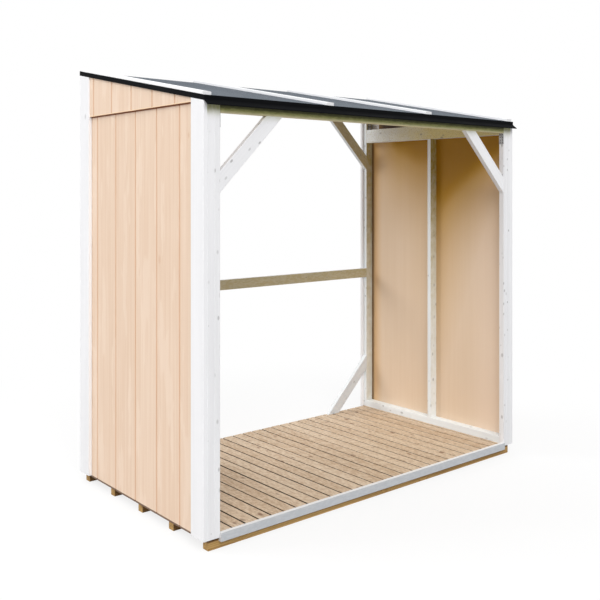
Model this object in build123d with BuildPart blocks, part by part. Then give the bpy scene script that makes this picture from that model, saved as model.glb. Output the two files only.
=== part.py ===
# Open log store with a lean-to roof, two clad end walls and a slatted floor.
# Millimetres. X runs along the store, Y from the low front to the high back, Z up from the ground.
import os
from math import floor, sqrt

from build123d import *

os.makedirs("parts", exist_ok=True)

# Overall sizes
length = 2200.0
depth = 1200.0
eave_height = 1950.0
roof_rise = 231.0
foot_gap = 9.0
edge_easing = 1.5

# Ground beams and floor
beam_width = 40.0
beam_height = 42.0
beam_setback = 12.0
beam_count = 5
deck_board_width = 67.0
deck_board_thickness = 18.0
deck_gap_wanted = 6.5
deck_notch_clearance = 1.5
sill_thickness = 21.0
sill_height = 40.0
sill_upstand = 12.0

# End walls
stud_thickness = 28.0
stud_depth = 55.0
mid_stud_offset = -20.0
bottom_plate_height = 42.0
top_plate_height = 90.0
top_plate_drop = 55.0
sheet_thickness = 12.0
gable_lift = 1.5
sheet_lap = 20.0
groove_pitch = 202.0
groove_width = 9.0
groove_depth = 4.0
wall_first_groove = 147.0
gable_first_groove = 42.0

# Corner timbers
post_width = 28.0
post_depth = 33.0
side_trim_width = 103.0
side_trim_thickness = 19.0
back_board_thickness = 20.0
back_board_overlap = 13.0

# Headers, rail and braces
front_header_drop = 48.0
back_header_height = 60.0
rail_base = 961.0
rail_height = 61.0
brace_width = 66.0
brace_setback = 2.5
front_knee_reach = 351.5
back_knee_reach = 402.5
back_foot_reach = 355.5

# Roof
roof_deck_thickness = 20.0
felt_thickness = 3.5
edging_thickness = 4.0
apron_reach = 26.0
apron_drop = 20.0
apron_lip_thickness = 4.5
batten_width = 45.0
batten_height = 15.0
batten_setback = 8.0
batten_count = 4

# Faces that the pieces share
front_face = -depth / 2
back_face = depth / 2
roof_slope = roof_rise / depth
trim_outer = length / 2
sheet_outer = trim_outer - side_trim_thickness
frame_outer = sheet_outer - sheet_thickness
wall_inner = frame_outer - stud_depth
post_outer = wall_inner + post_width
post_back = front_face + post_depth
back_board_front = back_face - back_board_thickness
back_stud_front = back_board_front - stud_thickness
deck_front = front_face + beam_setback
deck_top = beam_height + deck_board_thickness
post_foot = beam_height + foot_gap
sheet_foot = beam_height
sill_base = deck_top + sill_upstand - sill_height
stud_foot = deck_top + bottom_plate_height
top_plate_base = eave_height - top_plate_drop
gable_base = eave_height + gable_lift
roof_end = trim_outer - edging_thickness
brace_rise = brace_width * sqrt(2)
long_edge_count = 4
sides = {"left": -1, "right": 1}


def roof_underside(y):
    """Height of the underside of the roof boards at a given depth."""
    return eave_height + roof_slope * (y - front_face)


def felt_top(y):
    """Height of the top of the roofing felt at a given depth."""
    return roof_underside(y) + roof_deck_thickness + felt_thickness


def depth_under_roof(height):
    """Depth at which the underside of the roof reaches a given height."""
    return front_face + (height - eave_height) / roof_slope


def side_span(sign, inner, outer):
    """Low and high X of a piece that lies between two distances from the middle."""
    return sorted((sign * inner, sign * outer))


def save(piece, name):
    """Label a finished piece and write it out."""
    piece.part.label = name
    export_step(piece.part, f"parts/{name}.step")


def ease_long_edges(piece):
    """Take the sharp arris off the long edges of a planed timber."""
    chamfer(piece.edges().sort_by(SortBy.LENGTH)[-long_edge_count:], length=edge_easing)


def make_timber(name, x_span, y_span, z_span, planed=True):
    """Timber that fills three spans, planed with eased edges or left as sawn."""
    with BuildPart() as timber:
        with Locations((x_span[0], y_span[0], z_span[0])):
            Box(
                x_span[1] - x_span[0],
                y_span[1] - y_span[0],
                z_span[1] - z_span[0],
                align=(Align.MIN, Align.MIN, Align.MIN),
            )
        if planed:
            ease_long_edges(timber)
    save(timber, name)


def make_side_cut(name, outline, x_span, planed=True):
    """Piece cut to an outline of depth and height, running along X."""
    with BuildPart() as piece:
        with BuildSketch(Plane.YZ.offset(x_span[0])):
            with BuildLine():
                Polyline(*outline, close=True)
            make_face()
        extrude(amount=x_span[1] - x_span[0])
        if planed:
            ease_long_edges(piece)
    save(piece, name)


def make_front_cut(name, outline, y_span):
    """Piece cut to an outline of length and height, running along Y."""
    with BuildPart() as piece:
        with BuildSketch(Plane.XZ.offset(-y_span[1])):
            with BuildLine():
                Polyline(*outline, close=True)
            make_face()
        extrude(amount=y_span[1] - y_span[0])
        ease_long_edges(piece)
    save(piece, name)


def under_roof(y_low, y_high, base):
    """Outline of an upright piece whose top is cut to the roof."""
    return [
        (y_low, base),
        (y_high, base),
        (y_high, roof_underside(y_high)),
        (y_low, roof_underside(y_low)),
    ]


def under_roof_to(y_low, y_high, base, top):
    """Outline of a level piece whose low front corner is cut to the roof."""
    return [
        (y_low, base),
        (y_high, base),
        (y_high, top),
        (depth_under_roof(top), top),
        (y_low, roof_underside(y_low)),
    ]


# Ground beams
beam_reach = depth / 2 - beam_setback - beam_width / 2
for index in range(beam_count):
    beam_y = -beam_reach + index * 2 * beam_reach / (beam_count - 1)
    make_timber(
        f"ground_beam_{index + 1}",
        (-frame_outer, frame_outer),
        (beam_y - beam_width / 2, beam_y + beam_width / 2),
        (0, beam_height),
        planed=False,
    )

# Floor boards, notched round the front posts
deck_span = 2 * frame_outer
deck_board_count = round((deck_span + deck_gap_wanted) / (deck_board_width + deck_gap_wanted))
deck_pitch = (deck_span - deck_board_width) / (deck_board_count - 1)
deck_length = back_board_front - deck_front
notch_length = post_back + deck_notch_clearance - deck_front
notch_width = frame_outer - wall_inner + deck_notch_clearance
with BuildPart() as deck_boards:
    with Locations((0, deck_front + deck_length / 2, beam_height)):
        with GridLocations(deck_pitch, deck_length, deck_board_count, 1):
            Box(
                deck_board_width,
                deck_length,
                deck_board_thickness,
                align=(Align.CENTER, Align.CENTER, Align.MIN),
            )
    chamfer(deck_boards.edges().filter_by(Axis.Y), length=edge_easing)
    for sign in sides.values():
        with Locations((sign * (frame_outer - notch_width / 2), deck_front + notch_length / 2, beam_height)):
            Box(
                notch_width,
                notch_length,
                deck_board_thickness,
                align=(Align.CENTER, Align.CENTER, Align.MIN),
                mode=Mode.SUBTRACT,
            )
save(deck_boards, "deck_boards")

# Front sill
make_timber(
    "front_sill",
    (-wall_inner, wall_inner),
    (deck_front - sill_thickness, deck_front),
    (sill_base, sill_base + sill_height),
)


def groove_places(y_low, y_high, first):
    """Depths of the grooves in a sheet, counted from its back edge."""
    count = floor((y_high - y_low - first) / groove_pitch) + 1
    return [y_high - first - index * groove_pitch for index in range(count)]


def make_grooved_sheet(name, outline, sign, inner, outer, grooves):
    """Cladding sheet with upright V grooves in its outer face."""
    x_low, x_high = side_span(sign, inner, outer)
    heights = [height for y, height in outline]
    low = min(heights)
    with BuildPart() as sheet:
        with BuildSketch(Plane.YZ.offset(x_low)):
            with BuildLine():
                Polyline(*outline, close=True)
            make_face()
        extrude(amount=x_high - x_low)
        face_x = sign * outer
        bottom_x = sign * (outer - groove_depth)
        with BuildSketch(Plane.XY.offset(low)):
            for y in grooves:
                with BuildLine():
                    Polyline(
                        (face_x, y - groove_width / 2),
                        (bottom_x, y),
                        (face_x, y + groove_width / 2),
                        close=True,
                    )
                make_face()
        extrude(amount=max(heights) - low, mode=Mode.SUBTRACT)
    save(sheet, name)


# End walls
for side, sign in sides.items():
    wall_x = side_span(sign, wall_inner, frame_outer)
    trim_x = side_span(sign, sheet_outer, trim_outer)
    trim_front = front_face + side_trim_width
    trim_back = back_face - side_trim_width

    make_timber(
        f"{side}_bottom_plate", wall_x, (post_back, back_board_front), (deck_top, stud_foot)
    )
    make_timber(
        f"{side}_middle_stud",
        wall_x,
        (mid_stud_offset - stud_thickness / 2, mid_stud_offset + stud_thickness / 2),
        (stud_foot, top_plate_base),
    )
    make_side_cut(
        f"{side}_back_stud", under_roof(back_stud_front, back_board_front, stud_foot), wall_x
    )
    make_side_cut(
        f"{side}_top_plate",
        under_roof_to(post_back, back_stud_front, top_plate_base, top_plate_base + top_plate_height),
        wall_x,
    )
    make_grooved_sheet(
        f"{side}_wall_sheet",
        under_roof_to(post_back, back_board_front, sheet_foot, gable_base + sheet_lap),
        sign,
        frame_outer,
        sheet_outer,
        groove_places(post_back, back_board_front, wall_first_groove),
    )
    make_grooved_sheet(
        f"{side}_gable_sheet",
        under_roof(trim_front, trim_back, gable_base),
        sign,
        sheet_outer,
        sheet_outer + sheet_thickness,
        groove_places(trim_front, trim_back, gable_first_groove),
    )

    # Corner timbers
    front_outline = under_roof(front_face, post_back, post_foot)
    make_side_cut(f"{side}_front_post", front_outline, side_span(sign, wall_inner, post_outer))
    make_side_cut(f"{side}_front_corner_board", front_outline, side_span(sign, post_outer, sheet_outer))
    make_side_cut(f"{side}_front_side_trim", under_roof(front_face, trim_front, post_foot), trim_x)
    make_side_cut(f"{side}_back_side_trim", under_roof(trim_back, back_face, post_foot), trim_x)
    make_side_cut(
        f"{side}_back_corner_board",
        under_roof(back_board_front, back_face, post_foot),
        side_span(sign, wall_inner - back_board_overlap, sheet_outer),
    )

# Headers and back rail
opening_x = (-wall_inner, wall_inner)
front_header_base = eave_height - front_header_drop
back_header_base = roof_underside(back_stud_front) - back_header_height
make_side_cut("front_header", under_roof(front_face, post_back, front_header_base), opening_x)
make_side_cut("back_header", under_roof(back_stud_front, back_board_front, back_header_base), opening_x)
make_timber(
    "back_rail",
    opening_x,
    (back_stud_front, back_board_front),
    (rail_base, rail_base + rail_height),
)


def make_brace(name, sign, reach, corner_height, direction, y_span):
    """Brace at 45 degrees across the corner of a post and a level timber above or below it."""
    post_end = corner_height + direction * reach
    outline = [
        (sign * wall_inner, post_end),
        (sign * (wall_inner - reach), corner_height),
        (sign * (wall_inner - reach + brace_rise), corner_height),
        (sign * wall_inner, post_end - direction * brace_rise),
    ]
    make_front_cut(name, outline, y_span)


# Braces
front_brace_y = (front_face + brace_setback, front_face + brace_setback + stud_thickness)
back_brace_y = (back_stud_front, back_board_front)
for side, sign in sides.items():
    make_brace(f"{side}_front_knee_brace", sign, front_knee_reach, front_header_base, -1, front_brace_y)
    make_brace(f"{side}_back_knee_brace", sign, back_knee_reach, back_header_base, -1, back_brace_y)
    make_brace(f"{side}_back_foot_brace", sign, back_foot_reach, deck_top, 1, back_brace_y)


def roof_layer(y_low, y_high, bottom, thickness):
    """Outline of a roof layer that follows the slope."""
    return [
        (y_low, bottom(y_low)),
        (y_high, bottom(y_high)),
        (y_high, bottom(y_high) + thickness),
        (y_low, bottom(y_low) + thickness),
    ]


# Roof boards, felt and edging
roof_x = (-roof_end, roof_end)
edge_height = roof_deck_thickness + felt_thickness
make_side_cut(
    "roof_deck",
    roof_layer(front_face, back_face, roof_underside, roof_deck_thickness),
    roof_x,
    planed=False,
)
make_side_cut(
    "roofing_felt",
    roof_layer(
        front_face,
        back_face,
        lambda y: roof_underside(y) + roof_deck_thickness,
        felt_thickness,
    ),
    roof_x,
    planed=False,
)
for side, sign in sides.items():
    make_side_cut(
        f"{side}_roof_edging",
        roof_layer(front_face, back_face, roof_underside, edge_height),
        side_span(sign, roof_end, trim_outer),
        planed=False,
    )
make_timber(
    "back_roof_edging",
    (-trim_outer, trim_outer),
    (back_face, back_face + edging_thickness),
    (roof_underside(back_face), felt_top(back_face)),
    planed=False,
)

# Front apron, a bent strip whose lip leans out to shed water
apron_front = front_face - edging_thickness
apron_bend = eave_height + apron_lip_thickness
apron_nose = apron_bend - apron_drop
apron_slope = apron_drop / apron_reach
make_side_cut(
    "front_roof_apron",
    [
        (front_face, felt_top(front_face)),
        (apron_front, felt_top(front_face)),
        (apron_front, apron_bend),
        (apron_front - apron_reach, apron_nose),
        (apron_front - apron_reach, apron_nose - apron_lip_thickness),
        (front_face, apron_bend - apron_lip_thickness + apron_slope * edging_thickness),
    ],
    (-trim_outer, trim_outer),
    planed=False,
)

# Roof battens, level with the ends of the roof at the outside
batten_pitch = (length - batten_width) / (batten_count - 1)
batten_outline = roof_layer(front_face + batten_setback, back_face, felt_top, batten_height)
with BuildPart() as roof_battens:
    for index in range(batten_count):
        with BuildSketch(Plane.YZ.offset(-trim_outer + index * batten_pitch)):
            with BuildLine():
                Polyline(*batten_outline, close=True)
            make_face()
        extrude(amount=batten_width)
    chamfer(
        roof_battens.edges().sort_by(SortBy.LENGTH)[-long_edge_count * batten_count :],
        length=edge_easing,
    )
save(roof_battens, "roof_battens")
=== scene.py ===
import math
import random

import bmesh
import bpy
from bpy.props import FloatProperty, FloatVectorProperty, IntProperty, PointerProperty
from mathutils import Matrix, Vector, noise


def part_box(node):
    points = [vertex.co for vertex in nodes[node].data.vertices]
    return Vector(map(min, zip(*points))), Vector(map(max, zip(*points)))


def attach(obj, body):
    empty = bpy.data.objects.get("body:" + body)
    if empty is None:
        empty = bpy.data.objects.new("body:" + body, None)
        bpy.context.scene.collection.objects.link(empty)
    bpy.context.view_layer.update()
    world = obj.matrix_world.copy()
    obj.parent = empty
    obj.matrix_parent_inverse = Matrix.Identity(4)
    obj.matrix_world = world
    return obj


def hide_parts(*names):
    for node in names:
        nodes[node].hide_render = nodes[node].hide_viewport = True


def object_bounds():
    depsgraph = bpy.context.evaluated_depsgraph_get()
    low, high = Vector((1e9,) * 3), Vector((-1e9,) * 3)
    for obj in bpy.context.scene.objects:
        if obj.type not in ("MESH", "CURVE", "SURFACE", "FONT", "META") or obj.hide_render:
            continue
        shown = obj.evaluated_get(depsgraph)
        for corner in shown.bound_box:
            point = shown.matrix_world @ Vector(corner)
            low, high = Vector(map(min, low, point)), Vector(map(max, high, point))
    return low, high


bl_info = {
    "name": "Log Store",
    "version": (1, 0, 0),
    "blender": (4, 5, 0),
    "location": "View3D > Sidebar > Log Store",
    "description": "Finishes, boards, felt, nails and stage for an open log store",
    "category": "Object",
}

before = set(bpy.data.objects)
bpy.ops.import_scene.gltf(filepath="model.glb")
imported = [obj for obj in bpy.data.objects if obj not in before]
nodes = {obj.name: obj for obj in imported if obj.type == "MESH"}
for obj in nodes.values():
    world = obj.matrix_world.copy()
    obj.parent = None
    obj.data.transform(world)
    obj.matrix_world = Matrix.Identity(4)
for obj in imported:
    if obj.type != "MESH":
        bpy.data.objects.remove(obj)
cad_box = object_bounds()

BODY = "root"
SIDES = ("left", "right")

# Heights where a painted shade starts and is full if it covers a whole side: neither is above the ground
WHOLE_SIDE = (-1.0, 0.0)

# Directions in the store, then the way of a timber's grain by a word in its node's name
ALONG_LENGTH = Vector((1, 0, 0))
ALONG_DEPTH = Vector((0, 1, 0))
UPRIGHT = Vector((0, 0, 1))
TOWARD_FRONT = -ALONG_DEPTH
RISING = Vector((1, 0, 1)).normalized()
FALLING = Vector((1, 0, -1)).normalized()
GRAIN_WAYS = {
    "beam": ALONG_LENGTH,
    "sill": ALONG_LENGTH,
    "header": ALONG_LENGTH,
    "rail": ALONG_LENGTH,
    "plate": ALONG_DEPTH,
    "stud": UPRIGHT,
    "post": UPRIGHT,
    "corner_board": UPRIGHT,
    "side_trim": UPRIGHT,
    "sheet": UPRIGHT,
    "left_front_knee": RISING,
    "right_front_knee": FALLING,
    "left_back_knee": RISING,
    "right_back_knee": FALLING,
    "left_back_foot": FALLING,
    "right_back_foot": RISING,
}


def srgb(red, green, blue):
    """Linear colour of a finish given as 8-bit screen values."""
    def linear(value):
        share = value / 255
        return share / 12.92 if share <= 0.04045 else ((share + 0.055) / 1.055) ** 2.4

    return (linear(red), linear(green), linear(blue), 1.0)


def colour(name, description, default):
    """Colour property of a finish."""
    return FloatVectorProperty(
        name=name, description=description, subtype="COLOR", size=4, min=0, max=1, default=default
    )


def length(name, description, default):
    """Length property in metres."""
    return FloatProperty(name=name, description=description, unit="LENGTH", min=0, default=default)


def point(name, description, default):
    """Place property in metres."""
    return FloatVectorProperty(name=name, description=description, subtype="TRANSLATION", default=default)


def amount(name, description, default):
    """Plain number property."""
    return FloatProperty(name=name, description=description, default=default)


class LogStoreFinish(bpy.types.PropertyGroup):
    """Colours of the store's finishes."""

    white_stain: colour("White Stain", "White stain of the frame and trim", srgb(251, 251, 253))
    stain_shadow: colour("Stain Streaks", "Grey that the grain shows through the stain", srgb(206, 206, 208))
    # Painted shade on the front faces of the frame inside the store; also the sawn specks on the top plates
    inner_shade_and_speck_brown: colour("Sheltered Stain", "Shading under the stain inside the store", srgb(171, 152, 74))
    stain_knot: colour("Stained Knots", "Knots under the white stain", srgb(128, 126, 122))
    # Painted shade on the inner face of the top plates, growing towards the front
    plate_painted_shade: colour("Top Plate Stain", "Shading on the inner face of the top plates", srgb(232, 222, 162))
    # Whiter than the other stain: partly fresh paint, partly painted light for the bright light on the roof
    batten_white: colour("Roof Battens", "Fresh white of the roof battens", srgb(254, 254, 255))
    # A cooler copy of the white stain inside, painted against the warmer bounce light there
    inner_stain: colour("Inner Stain", "Cooler white stain inside the store", srgb(246, 252, 255))
    # Painted shade on the front faces of the foot braces, cooled against the warmer bounce light
    brace_painted_shade: colour("Foot Braces", "Cool grey of the foot braces", srgb(186, 194, 206))
    sill_stain: colour("Sill Stain", "Cooler stain of the front sill", srgb(244, 245, 246))
    # Painted shade on the front face of the sill
    sill_shade: colour("Sill Front", "Darkened stain on the front of the sill", srgb(192, 196, 201))
    # The same green is also the painted shade at the tops of the front posts under the apron
    header_green: colour("Treated Header", "Green of the treated front header", srgb(168, 168, 106))
    # Partly untreated wood, partly painted light from below on the header's lower edge and underside
    header_pale: colour("Header Underside", "Untreated face under the header", srgb(220, 210, 172))
    # Also the painted shade that darkens the header towards the apron
    header_dark: colour("Header Streaks", "Dark streaks of the treated header", srgb(116, 116, 58))
    # Painted shadow of the apron's lip on the top of the header
    header_shade: colour("Header Top", "Damp under the lip of the apron", srgb(50, 52, 28))
    # Also painted light on the lining towards the open front
    clad_light: colour("Cladding", "Early wood of the cladding", srgb(246, 222, 200))
    clad_dark: colour("Cladding Grain", "Late wood of the cladding", srgb(228, 195, 166))
    clad_groove: colour("Cladding Groove", "Stain gathered in the grooves", srgb(206, 150, 100))
    # Painted shadow under the gable sheet's lower edge and on the sheets' downward faces
    clad_painted_shadow: colour("Cladding Joint", "Damp line under the gable sheet", srgb(138, 70, 4))
    # Painted highlight along the gable sheet's lower edge
    clad_painted_highlight: colour("Cladding Edge", "Fresh cut edge of the gable sheet", srgb(255, 224, 184))
    lining: colour("Wall Lining", "Smooth inner face of the end walls", srgb(232, 209, 184))
    lining_dark: colour("Lining Grain", "Grain of the inner face", srgb(222, 195, 164))
    # Painted shade on the lining: a warmer tone beside the back stud, gold then brown towards the roof and by
    # the middle stud, darkest close under the roof and in the back corner
    lining_warm_shade: colour("Lining Corner", "Warm tone of the lining beside the back stud", srgb(222, 170, 84))
    lining_gold_shade: colour("Lining Gold", "Shading that yellows the lining towards the roof", srgb(190, 142, 14))
    lining_shade: colour("Lining Shade", "Shading that darkens the lining under the roof", srgb(168, 121, 14))
    lining_deep_shade: colour("Lining Top", "Darkest lining, close under the roof", srgb(66, 40, 10))
    floor_light: colour("Floor Boards", "Early wood of the floor boards", srgb(226, 206, 181))
    floor_dark: colour("Floor Grain", "Late wood of the floor boards", srgb(189, 161, 130))
    floor_knot: colour("Floor Knots", "Knots in the floor boards", srgb(120, 78, 48))
    # Painted shade down the sides of the floor boards and on the sides of the roof boards' V joints
    board_joint_shade: colour("Floor Joints", "Dirt down the sides of the floor boards", srgb(22, 13, 7))
    # Painted shade along the foot of the wall sheets and on the beams; also grime on the plate nails
    painted_shade_and_dirt_brown: colour("Damp", "Damp at the foot of the walls and on the beams", srgb(92, 60, 34))
    beam_light: colour("Ground Beams", "Treated wood of the ground beams", srgb(210, 172, 110))
    beam_dark: colour("Beam Grain", "Dark grain of the ground beams", srgb(132, 94, 48))
    felt_grey: colour("Felt", "Mineral felt of the roof", srgb(95, 102, 110))
    felt_fleck: colour("Felt Flecks", "Paler mineral flecks", srgb(126, 132, 139))
    edging_black: colour("Edging", "Black coated edging and apron", srgb(9, 10, 12))
    nail_steel: colour("Nails", "Dull steel of the nail heads", srgb(150, 140, 128))
    plate_zinc: colour("Nail Plates", "Dull zinc of the nail plates", srgb(204, 206, 208))
    # Partly dark steel, partly painted shade for the shade in the plate's holes; also the dark patches on the
    # zinc
    plate_nail: colour("Plate Nails", "Dark nails of the nail plates", srgb(44, 44, 46))


class LogStoreSizes(bpy.types.PropertyGroup):
    """Sizes of the boards, felt and nails that dress the frame."""

    board_rounding: length("Board Rounding", "Radius on the floor boards' long edges", 0.0025)
    board_drop: length("Board Drop", "Most that a floor board lies below its neighbours", 0.0008)
    board_drift: length("Board Drift", "Most that a floor board lies off its place", 0.0006)
    roof_board_width: length("Roof Board Width", "Cover width wanted for the roof boards", 0.09)
    roof_board_joint: length("Roof Board Joint", "Size of the V joint under the roof", 0.004)
    felt_ripple: length("Felt Ripple", "Most that the felt dips between the battens", 0.0012)
    nail_width: length("Nail Width", "Diameter of a lost-head nail", 0.0036)
    nail_stand: length("Nail Stand", "Height of a nail head over the timber", 0.0003)
    nail_inset: length("Nail Inset", "Distance of a nail from a timber's edge", 0.016)
    trim_nail_pitch: length("Trim Nail Pitch", "Spacing of the nails up the trim", 0.38)
    plate_hole_pitch: length("Plate Hole Pitch", "Spacing of the holes in a nail plate", 0.016)
    plate_hole_width: length("Plate Hole Width", "Diameter of a hole in a nail plate", 0.008)
    plate_thickness: length("Plate Thickness", "Thickness of a nail plate", 0.0015)
    seed: IntProperty(name="Seed", description="Seed of the boards' variation", default=11)


class LogStoreStage(bpy.types.PropertyGroup):
    """Camera, floor and light around the store."""

    eye: point("Eye", "Place of the camera", (-3.0902, -3.6108, 1.5582))
    heading: FloatProperty(
        name="Heading",
        description="Turn of the camera from the depth axis",
        subtype="ANGLE",
        default=math.radians(40.04),
    )
    lens: amount("Lens", "Focal length in millimetres", 50.15)
    rise: amount("Rise", "Upward shift of the lens, as in the photograph", -0.1812)
    floor_radius: length("Floor Radius", "Radius of the pale floor", 30.0)
    floor_fade: length("Floor Fade", "Distance over which the floor turns white", 3.2)
    floor_grey: colour("Floor Paint", "Pale studio floor", srgb(176, 176, 176))
    horizon: amount("Horizon", "Strength of the even light from the sides", 0.46)
    zenith: amount("Zenith", "Strength of the even light from above", 0.78)
    key_power: amount("Key", "Power of the soft lamp at the left back", 3700.0)
    key_place: point("Key Place", "Place of the soft key lamp", (-22.0, 17.0, 17.0))
    fill_power: amount("Fill", "Power of the soft lamp at the front", 3750.0)
    fill_place: point("Fill Place", "Place of the soft fill lamp", (-10.0, -18.0, 18.0))
    lamp_size: length("Lamp Size", "Side of the soft lamps", 16.0)


class Wires:
    """Adds and joins the nodes of one shader tree."""

    def __init__(self, tree):
        self.tree = tree

    def add(self, kind, **settings):
        """New node with its settings."""
        node = self.tree.nodes.new(kind)
        for name, value in settings.items():
            setattr(node, name, value)
        return node

    def feed(self, socket, value):
        """Join a socket to another one, or set its value."""
        if isinstance(value, bpy.types.NodeSocket):
            self.tree.links.new(value, socket)
        elif value is not None:
            socket.default_value = value

    def math(self, operation, first, second=None, clamp=False):
        """Result of a sum on values."""
        node = self.add("ShaderNodeMath", operation=operation, use_clamp=clamp)
        self.feed(node.inputs[0], first)
        self.feed(node.inputs[1], second)
        return node.outputs[0]

    def times(self, first, second, clamp=False):
        """Product of two values."""
        return self.math("MULTIPLY", first, second, clamp)

    def plus(self, first, second):
        """Sum of two values."""
        return self.math("ADD", first, second)

    def minus(self, first, second, clamp=False):
        """First value less the second."""
        return self.math("SUBTRACT", first, second, clamp)

    def vector(self, operation, first, second=None, scale=None):
        """Result of a sum on vectors: a value for lengths and dot products."""
        node = self.add("ShaderNodeVectorMath", operation=operation)
        self.feed(node.inputs[0], first)
        if second is not None:
            self.feed(node.inputs[1], second)
        if scale is not None:
            self.feed(node.inputs["Scale"], scale)
        return node.outputs["Value" if operation in ("LENGTH", "DOT_PRODUCT") else "Vector"]

    def spread(self, value, low, high, to_low=0.0, to_high=1.0):
        """Value eased from one range to another."""
        node = self.add("ShaderNodeMapRange", interpolation_type="SMOOTHSTEP")
        names = ("Value", "From Min", "From Max", "To Min", "To Max")
        for name, number in zip(names, (value, low, high, to_low, to_high)):
            self.feed(node.inputs[name], number)
        return node.outputs[0]

    def noise(self, vector, scale=1.0, detail=2.0, roughness=0.5):
        """Soft noise at a place: its value and its colour."""
        node = self.add("ShaderNodeTexNoise")
        names = ("Vector", "Scale", "Detail", "Roughness")
        for name, number in zip(names, (vector, scale, detail, roughness)):
            self.feed(node.inputs[name], number)
        return node.outputs[0], node.outputs[1]

    def weigh(self, *parts):
        """Sum of values, each times its share."""
        total = None
        for value, share in parts:
            part = self.times(value, share)
            total = part if total is None else self.plus(total, part)
        return total

    def mix(self, share, first, second):
        """Colour between two colours."""
        node = self.add("ShaderNodeMix", data_type="RGBA", clamp_factor=True)
        self.feed(node.inputs[0], share)
        self.feed(node.inputs[6], first)
        self.feed(node.inputs[7], second)
        return node.outputs[2]

    def stain(self, paint, mask, share, tint):
        """Paint that takes up to a share of a tint where a mask lies."""
        return self.mix(self.times(mask, share), paint, tint)

    def split(self, vector):
        """X, Y and Z of a vector."""
        node = self.add("ShaderNodeSeparateXYZ")
        self.feed(node.inputs[0], vector)
        return node.outputs

    def surface(self):
        """Place and normal on the surface."""
        outputs = self.add("ShaderNodeNewGeometry").outputs
        return outputs["Position"], outputs["Normal"]

    def attribute(self, name, kind="OBJECT"):
        """Property of the object, or attribute of its mesh."""
        return self.add("ShaderNodeAttribute", attribute_type=kind, attribute_name=name).outputs


def new_group(name, inputs, outputs):
    """Shader group with named inputs, and values as outputs: its wires, its entry and its exit sockets."""
    tree = bpy.data.node_groups.new(name, "ShaderNodeTree")
    kinds = {"value": "NodeSocketFloat", "vector": "NodeSocketVector"}
    for socket_name, (kind, default) in inputs.items():
        socket = tree.interface.new_socket(socket_name, in_out="INPUT", socket_type=kinds[kind])
        socket.default_value = default
    for socket_name in outputs:
        tree.interface.new_socket(socket_name, in_out="OUTPUT", socket_type=kinds["value"])
    wires = Wires(tree)
    entry = wires.add("NodeGroupInput").outputs
    return wires, entry, wires.add("NodeGroupOutput").inputs


def place_group(wires, name, **values):
    """Node of a group in a material, fed with values or sockets by its sockets' names."""
    node = wires.add("ShaderNodeGroup", node_tree=bpy.data.node_groups[name])
    for key, value in values.items():
        wires.feed(node.inputs[key.replace("_", " ").title()], value)
    return node.outputs


def make_grain_group():
    """Solid timber: growth rings about a heart, streaks, fibres, flecks, knots and cut ends."""
    wires, entry, out = new_group(
        "Timber Grain",
        {
            "Axis": ("vector", (0, 0, 1)),
            "Heart": ("vector", (0, 0, 0)),
            "Seed": ("value", 0.0),
            "Ring Spacing": ("value", 0.0045),
            "Ring Waver": ("value", 0.010),
            "Streaks Per Metre": ("value", 34.0),
            "Fibres Per Metre": ("value", 520.0),
            "Knot Cell": ("value", 0.085),
            "Knot Size": ("value", 0.17),
            "Knot Share": ("value", 0.32),
        },
        ("Rings", "Streaks", "Fibres", "Flecks", "Knots", "Ends"),
    )
    position, normal = wires.surface()
    axis = entry["Axis"]
    place = wires.vector("SUBTRACT", position, entry["Heart"])
    along = wires.vector("SCALE", axis, scale=wires.vector("DOT_PRODUCT", place, axis))
    across = wires.vector("SUBTRACT", place, along)
    shift = wires.vector("SCALE", (3.1, 5.7, 1.9), scale=entry["Seed"])

    def stretched(across_scale, along_scale):
        """Place with its own scales across and along the grain."""
        scaled = wires.vector("SCALE", across, scale=across_scale)
        drawn = wires.vector("SCALE", along, scale=along_scale)
        return wires.vector("ADD", wires.vector("ADD", scaled, drawn), shift)

    cell = wires.math("DIVIDE", 1.0, entry["Knot Cell"])
    cells = wires.add("ShaderNodeTexVoronoi")
    wires.feed(cells.inputs["Vector"], stretched(cell, wires.times(cell, 0.55)))
    wires.feed(cells.inputs["Scale"], 1.0)
    wires.feed(cells.inputs["Randomness"], 0.85)
    distance = cells.outputs["Distance"]
    chance = wires.split(cells.outputs["Color"])
    present = wires.math("LESS_THAN", chance[0], entry["Knot Share"])
    knot_size = wires.times(entry["Knot Size"], wires.plus(chance[1], 0.45))
    knots = wires.spread(distance, knot_size, wires.times(knot_size, 0.45))
    knots = wires.times(knots, wires.plus(wires.times(chance[2], 0.6), 0.4))
    swirl = wires.spread(distance, wires.times(entry["Knot Size"], 3.2), 0.0)
    swirl = wires.times(wires.times(swirl, present), 0.022)

    waver = wires.vector("SUBTRACT", wires.noise(stretched(5.0, 1.1))[1], (0.5, 0.5, 0.5))
    wavered = wires.vector("ADD", across, wires.vector("SCALE", waver, scale=entry["Ring Waver"]))
    radius = wires.plus(wires.vector("LENGTH", wavered), swirl)
    rings = wires.math("FRACT", wires.math("DIVIDE", radius, entry["Ring Spacing"]))
    streaks = wires.noise(stretched(entry["Streaks Per Metre"], 1.2), detail=3.0, roughness=0.6)[0]
    fibres = wires.noise(stretched(entry["Fibres Per Metre"], 11.0), detail=3.0, roughness=0.6)[0]
    flecks = wires.noise(stretched(105.0, 36.0), roughness=0.6)[0]
    facing = wires.math("ABSOLUTE", wires.vector("DOT_PRODUCT", normal, axis))

    wires.feed(out["Rings"], wires.math("POWER", rings, 2.0))
    wires.feed(out["Streaks"], wires.spread(streaks, 0.28, 0.72))
    wires.feed(out["Fibres"], fibres)
    wires.feed(out["Flecks"], wires.spread(flecks, 0.34, 0.66))
    wires.feed(out["Knots"], wires.times(knots, present))
    wires.feed(out["Ends"], wires.spread(facing, 0.80, 0.95))


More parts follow.
